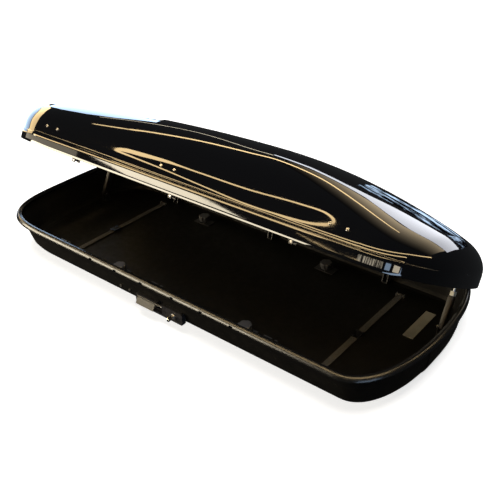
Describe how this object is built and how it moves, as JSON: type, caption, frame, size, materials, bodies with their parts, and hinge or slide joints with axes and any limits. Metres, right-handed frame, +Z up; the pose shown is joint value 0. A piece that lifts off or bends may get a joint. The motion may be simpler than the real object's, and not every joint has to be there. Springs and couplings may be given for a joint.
{
  "type": "roof cargo box",
  "caption": "Hard-shell car roof cargo box with a side-opening hinged lid, key lock, pull handle, lid lifters and roof-bar clamps.",
  "frame": {"origin": "centre of the raised panel under the tub, on its lower face", "axes": "+X towards the nose, -Y towards the side that opens, +Z up"},
  "size_m": [2.068, 0.9049, 0.6763],
  "materials": {
    "tub_black": "textured black",
    "rim_black": "satin black",
    "lid_black": "high gloss black",
    "steel": "zinc plated",
    "black_steel": "powder coated black",
    "aluminium": "brushed, warm",
    "lifter_grey": "brown grey, moulded",
    "cream": "cream",
    "dark_plastic": "dark grey moulded",
    "flap_grey": "satin dark grey",
    "key_metal": "nickel plated",
    "rubber": "matt",
    "webbing": "woven",
    "knob_grey": "moulded"
  },
  "bodies": {
    "tub": {"tub_shell": "tub_black", "rim_trim": "rim_black", "hinge_brackets": "black_steel", "hinge_pins": "steel", "lifter_feet": "black_steel", "lifter_lower_pins": "steel", "rail_guides": "dark_plastic", "lock_bezel": "dark_plastic", "lock_sleeve": "steel", "handle_pin": "steel", "crank_stand": "black_steel", "clamp_bases": "steel", "bar_pads": "rubber", "claw_pins": "steel", "clamp_washers": "black_steel", "floor_plate": "aluminium", "strap_front": "webbing", "strap_rear": "webbing", "strap_anchors": "steel", "strap_buckles": "dark_plastic", "wall_rivets": "steel"},
    "lid": {"lid_shell": "lid_black", "lid_side_screws": "steel", "lid_roof_rivets": "steel", "lid_rail_near": "aluminium", "lid_rail_far": "aluminium", "lid_stiffener_front": "aluminium", "lid_stiffener_rear": "aluminium", "hinge_arms": "black_steel", "lifter_lugs": "black_steel", "lifter_upper_pins": "steel", "striker_brackets": "black_steel", "striker_pins": "steel"},
    "latch": {"latch_rail": "black_steel", "latch_hooks": "black_steel", "hook_rivets": "steel"},
    "handle": {"handle_flap": "flap_grey"},
    "crank": {"bell_crank": "black_steel"},
    "lock": {"lock_cylinder": "steel", "key": "key_metal", "lock_cam": "steel"},
    "lifter_tube_front": {"lifter_tube_front": "lifter_grey", "lifter_collar_front": "cream"},
    "lifter_rod_front": {"lifter_rod_front": "steel"},
    "lifter_tube_rear": {"lifter_tube_rear": "lifter_grey", "lifter_collar_rear": "cream"},
    "lifter_rod_rear": {"lifter_rod_rear": "steel"},
    "knob_front_near": {"clamp_knob_front_near": "knob_grey", "clamp_spindle_front_near": "steel"},
    "claw_front_near": {"clamp_claw_front_near": "black_steel"},
    "knob_front_far": {"clamp_knob_front_far": "knob_grey", "clamp_spindle_front_far": "steel"},
    "claw_front_far": {"clamp_claw_front_far": "black_steel"},
    "knob_rear_near": {"clamp_knob_rear_near": "knob_grey", "clamp_spindle_rear_near": "steel"},
    "claw_rear_near": {"clamp_claw_rear_near": "black_steel"},
    "knob_rear_far": {"clamp_knob_rear_far": "knob_grey", "clamp_spindle_rear_far": "steel"},
    "claw_rear_far": {"clamp_claw_rear_far": "black_steel"}
  },
  "joints": [
    {"name": "lid_hinge", "type": "hinge", "parent": "tub", "child": "lid", "pos_m": [0, 0.358, 0.078], "axis": [1, 0, 0], "range_deg": [0, 29.75]},
    {"name": "latch_slide", "type": "slide", "parent": "tub", "child": "latch", "axis": [1, 0, 0], "range_m": [0, 0.02207]},
    {"name": "handle_pull", "type": "hinge", "parent": "tub", "child": "handle", "pos_m": [0, -0.388, 0.048], "axis": [1, 0, 0], "range_deg": [0, 35]},
    {"name": "crank_turn", "type": "hinge", "parent": "tub", "child": "crank", "pos_m": [0.04, -0.355, 0.048], "axis": [0, 1, 0], "range_deg": [0, 46]},
    {"name": "key_turn", "type": "hinge", "parent": "tub", "child": "lock", "pos_m": [0.09, -0.37, 0.033], "axis": [0, -1, 0], "range_deg": [0, 90]},
    {"name": "lifter_swing_front", "type": "hinge", "parent": "tub", "child": "lifter_tube_front", "pos_m": [0.945, 0.14, 0.048], "axis": [1, 0, 0], "range_deg": [0, 12.81]},
    {"name": "lifter_slide_front", "type": "slide", "parent": "lifter_tube_front", "child": "lifter_rod_front", "axis": [0, 0.5039, 0.8638], "range_m": [-0.0972, 0]},
    {"name": "lifter_swing_rear", "type": "hinge", "parent": "tub", "child": "lifter_tube_rear", "pos_m": [-0.915, 0.14, 0.048], "axis": [1, 0, 0], "range_deg": [0, 12.81]},
    {"name": "lifter_slide_rear", "type": "slide", "parent": "lifter_tube_rear", "child": "lifter_rod_rear", "axis": [0, 0.5039, 0.8638], "range_m": [-0.0972, 0]},
    {"name": "knob_turn_front_near", "type": "hinge", "parent": "tub", "child": "knob_front_near", "pos_m": [0.35, -0.27, 0.02], "axis": [0, 0, 1], "range_deg": [0, 1080]},
    {"name": "claw_close_front_near", "type": "hinge", "parent": "tub", "child": "claw_front_near", "pos_m": [0.394, -0.27, -0.012], "axis": [0, 1, 0], "range_deg": [0, 25]},
    {"name": "knob_turn_front_far", "type": "hinge", "parent": "tub", "child": "knob_front_far", "pos_m": [0.35, 0.27, 0.02], "axis": [0, 0, 1], "range_deg": [0, 1080]},
    {"name": "claw_close_front_far", "type": "hinge", "parent": "tub", "child": "claw_front_far", "pos_m": [0.394, 0.27, -0.012], "axis": [0, 1, 0], "range_deg": [0, 25]},
    {"name": "knob_turn_rear_near", "type": "hinge", "parent": "tub", "child": "knob_rear_near", "pos_m": [-0.35, -0.27, 0.02], "axis": [0, 0, 1], "range_deg": [0, 1080]},
    {"name": "claw_close_rear_near", "type": "hinge", "parent": "tub", "child": "claw_rear_near", "pos_m": [-0.306, -0.27, -0.012], "axis": [0, 1, 0], "range_deg": [0, 25]},
    {"name": "knob_turn_rear_far", "type": "hinge", "parent": "tub", "child": "knob_rear_far", "pos_m": [-0.35, 0.27, 0.02], "axis": [0, 0, 1], "range_deg": [0, 1080]},
    {"name": "claw_close_rear_far", "type": "hinge", "parent": "tub", "child": "claw_rear_far", "pos_m": [-0.306, 0.27, -0.012], "axis": [0, 1, 0], "range_deg": [0, 25]}
  ],
  "couplings": [
    {"joint": "handle_pull", "follows": "latch_slide", "rad_per_m": 27.675},
    {"joint": "crank_turn", "follows": "latch_slide", "rad_per_m": 36.373},
    {"joint": "lifter_swing_front", "follows": "lid_hinge", "ratio": 0.43061},
    {"joint": "lifter_slide_front", "follows": "lid_hinge", "m_per_rad": -0.1872},
    {"joint": "lifter_swing_rear", "follows": "lid_hinge", "ratio": 0.43061},
    {"joint": "lifter_slide_rear", "follows": "lid_hinge", "m_per_rad": -0.1872},
    {"joint": "claw_close_front_near", "follows": "knob_turn_front_near", "ratio": 0.023148},
    {"joint": "claw_close_front_far", "follows": "knob_turn_front_far", "ratio": 0.023148},
    {"joint": "claw_close_rear_near", "follows": "knob_turn_rear_near", "ratio": 0.023148},
    {"joint": "claw_close_rear_far", "follows": "knob_turn_rear_far", "ratio": 0.023148}
  ]
}
